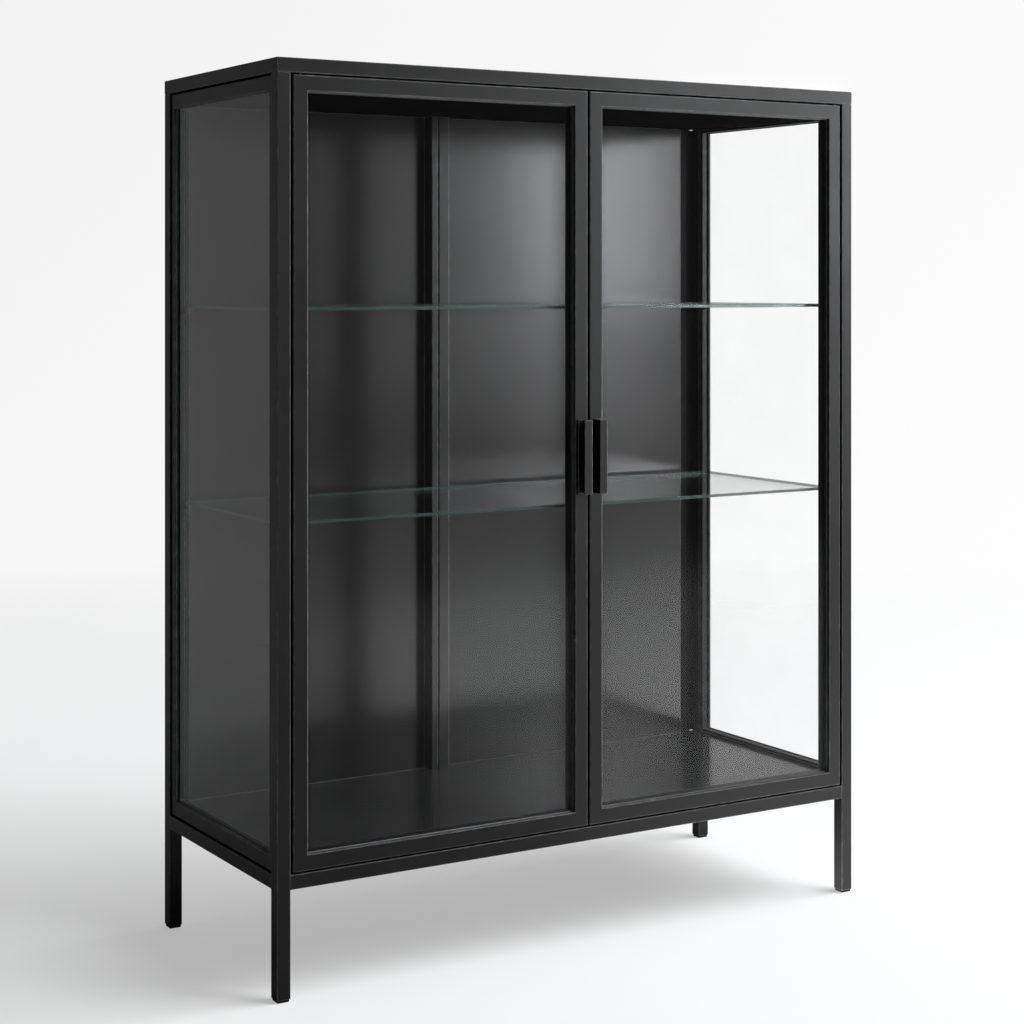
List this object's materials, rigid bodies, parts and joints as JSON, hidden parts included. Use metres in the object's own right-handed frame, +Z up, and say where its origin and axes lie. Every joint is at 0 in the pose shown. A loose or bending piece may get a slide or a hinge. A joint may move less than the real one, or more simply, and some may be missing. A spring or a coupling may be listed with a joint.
{
  "type": "glass display cabinet",
  "caption": "Free-standing black steel display cabinet on legs, with hinged glass doors, glazed sides, a closed back and glass shelves for showing and storing things.",
  "frame": {"origin": "on the floor, under the centre of the overall box, handles included", "axes": "+Z up, -Y towards the front, where the doors are, +X to the right as seen from the front"},
  "size_m": [1, 0.42, 1.27],
  "materials": {
    "powder_coated_steel": "fine-textured black powder coat on steel tube and plate",
    "powder_coated_sheet": "satin black powder coat on folded sheet steel",
    "coated_profile": "fine-textured black powder coat on frame profile",
    "clear_glass": "clear float glass with a faint green edge",
    "black_rubber": "matte black",
    "black_plastic": "matte black moulded plastic",
    "bright_steel": "turned bright steel"
  },
  "bodies": {
    "carcass": {"post_front_left": "powder_coated_steel", "post_front_right": "powder_coated_steel", "post_rear_left": "powder_coated_steel", "post_rear_right": "powder_coated_steel", "top_rail_front": "powder_coated_steel", "top_rail_back": "powder_coated_steel", "top_rail_left": "powder_coated_steel", "top_rail_right": "powder_coated_steel", "bottom_rail_front": "powder_coated_steel", "bottom_rail_back": "powder_coated_steel", "bottom_rail_left": "powder_coated_steel", "bottom_rail_right": "powder_coated_steel", "top_panel": "powder_coated_steel", "floor_pan": "powder_coated_sheet", "ceiling_pan": "powder_coated_sheet", "back_pan_left": "powder_coated_sheet", "back_pan_right": "powder_coated_sheet", "back_joining_strip": "powder_coated_sheet", "back_seal_left": "black_rubber", "back_seal_right": "black_rubber", "side_frame_left": "coated_profile", "side_frame_right": "coated_profile", "side_gasket_left": "black_rubber", "side_gasket_right": "black_rubber", "side_glass_left": "clear_glass", "side_glass_right": "clear_glass", "side_bead_left": "coated_profile", "side_bead_right": "coated_profile", "shelf_lower": "clear_glass", "shelf_upper": "clear_glass", "shelf_bracket_lower_front_left": "powder_coated_steel", "shelf_bracket_lower_front_right": "powder_coated_steel", "shelf_bracket_lower_rear_left": "powder_coated_steel", "shelf_bracket_lower_rear_right": "powder_coated_steel", "shelf_bracket_upper_front_left": "powder_coated_steel", "shelf_bracket_upper_front_right": "powder_coated_steel", "shelf_bracket_upper_rear_left": "powder_coated_steel", "shelf_bracket_upper_rear_right": "powder_coated_steel", "hinge_pin_lower_left": "bright_steel", "hinge_pin_lower_right": "bright_steel", "hinge_pin_upper_left": "bright_steel", "hinge_pin_upper_right": "bright_steel", "catch_magnet_left": "bright_steel", "catch_magnet_right": "bright_steel", "foot_front_left": "black_plastic", "foot_front_right": "black_plastic", "foot_rear_left": "black_plastic", "foot_rear_right": "black_plastic"},
    "door_left": {"door_frame_left": "coated_profile", "door_gasket_left": "black_rubber", "door_glass_left": "clear_glass", "door_bead_left": "coated_profile", "handle_left": "powder_coated_steel"},
    "door_right": {"door_frame_right": "coated_profile", "door_gasket_right": "black_rubber", "door_glass_right": "clear_glass", "door_bead_right": "coated_profile", "handle_right": "powder_coated_steel"}
  },
  "joints": [
    {"name": "door_left_hinge", "type": "hinge", "parent": "carcass", "child": "door_left", "pos_m": [-0.465, -0.183, 0.71], "axis": [0, 0, -1], "range_deg": [0, 110]},
    {"name": "door_right_hinge", "type": "hinge", "parent": "carcass", "child": "door_right", "pos_m": [0.465, -0.183, 0.71], "axis": [0, 0, 1], "range_deg": [0, 110]}
  ]
}
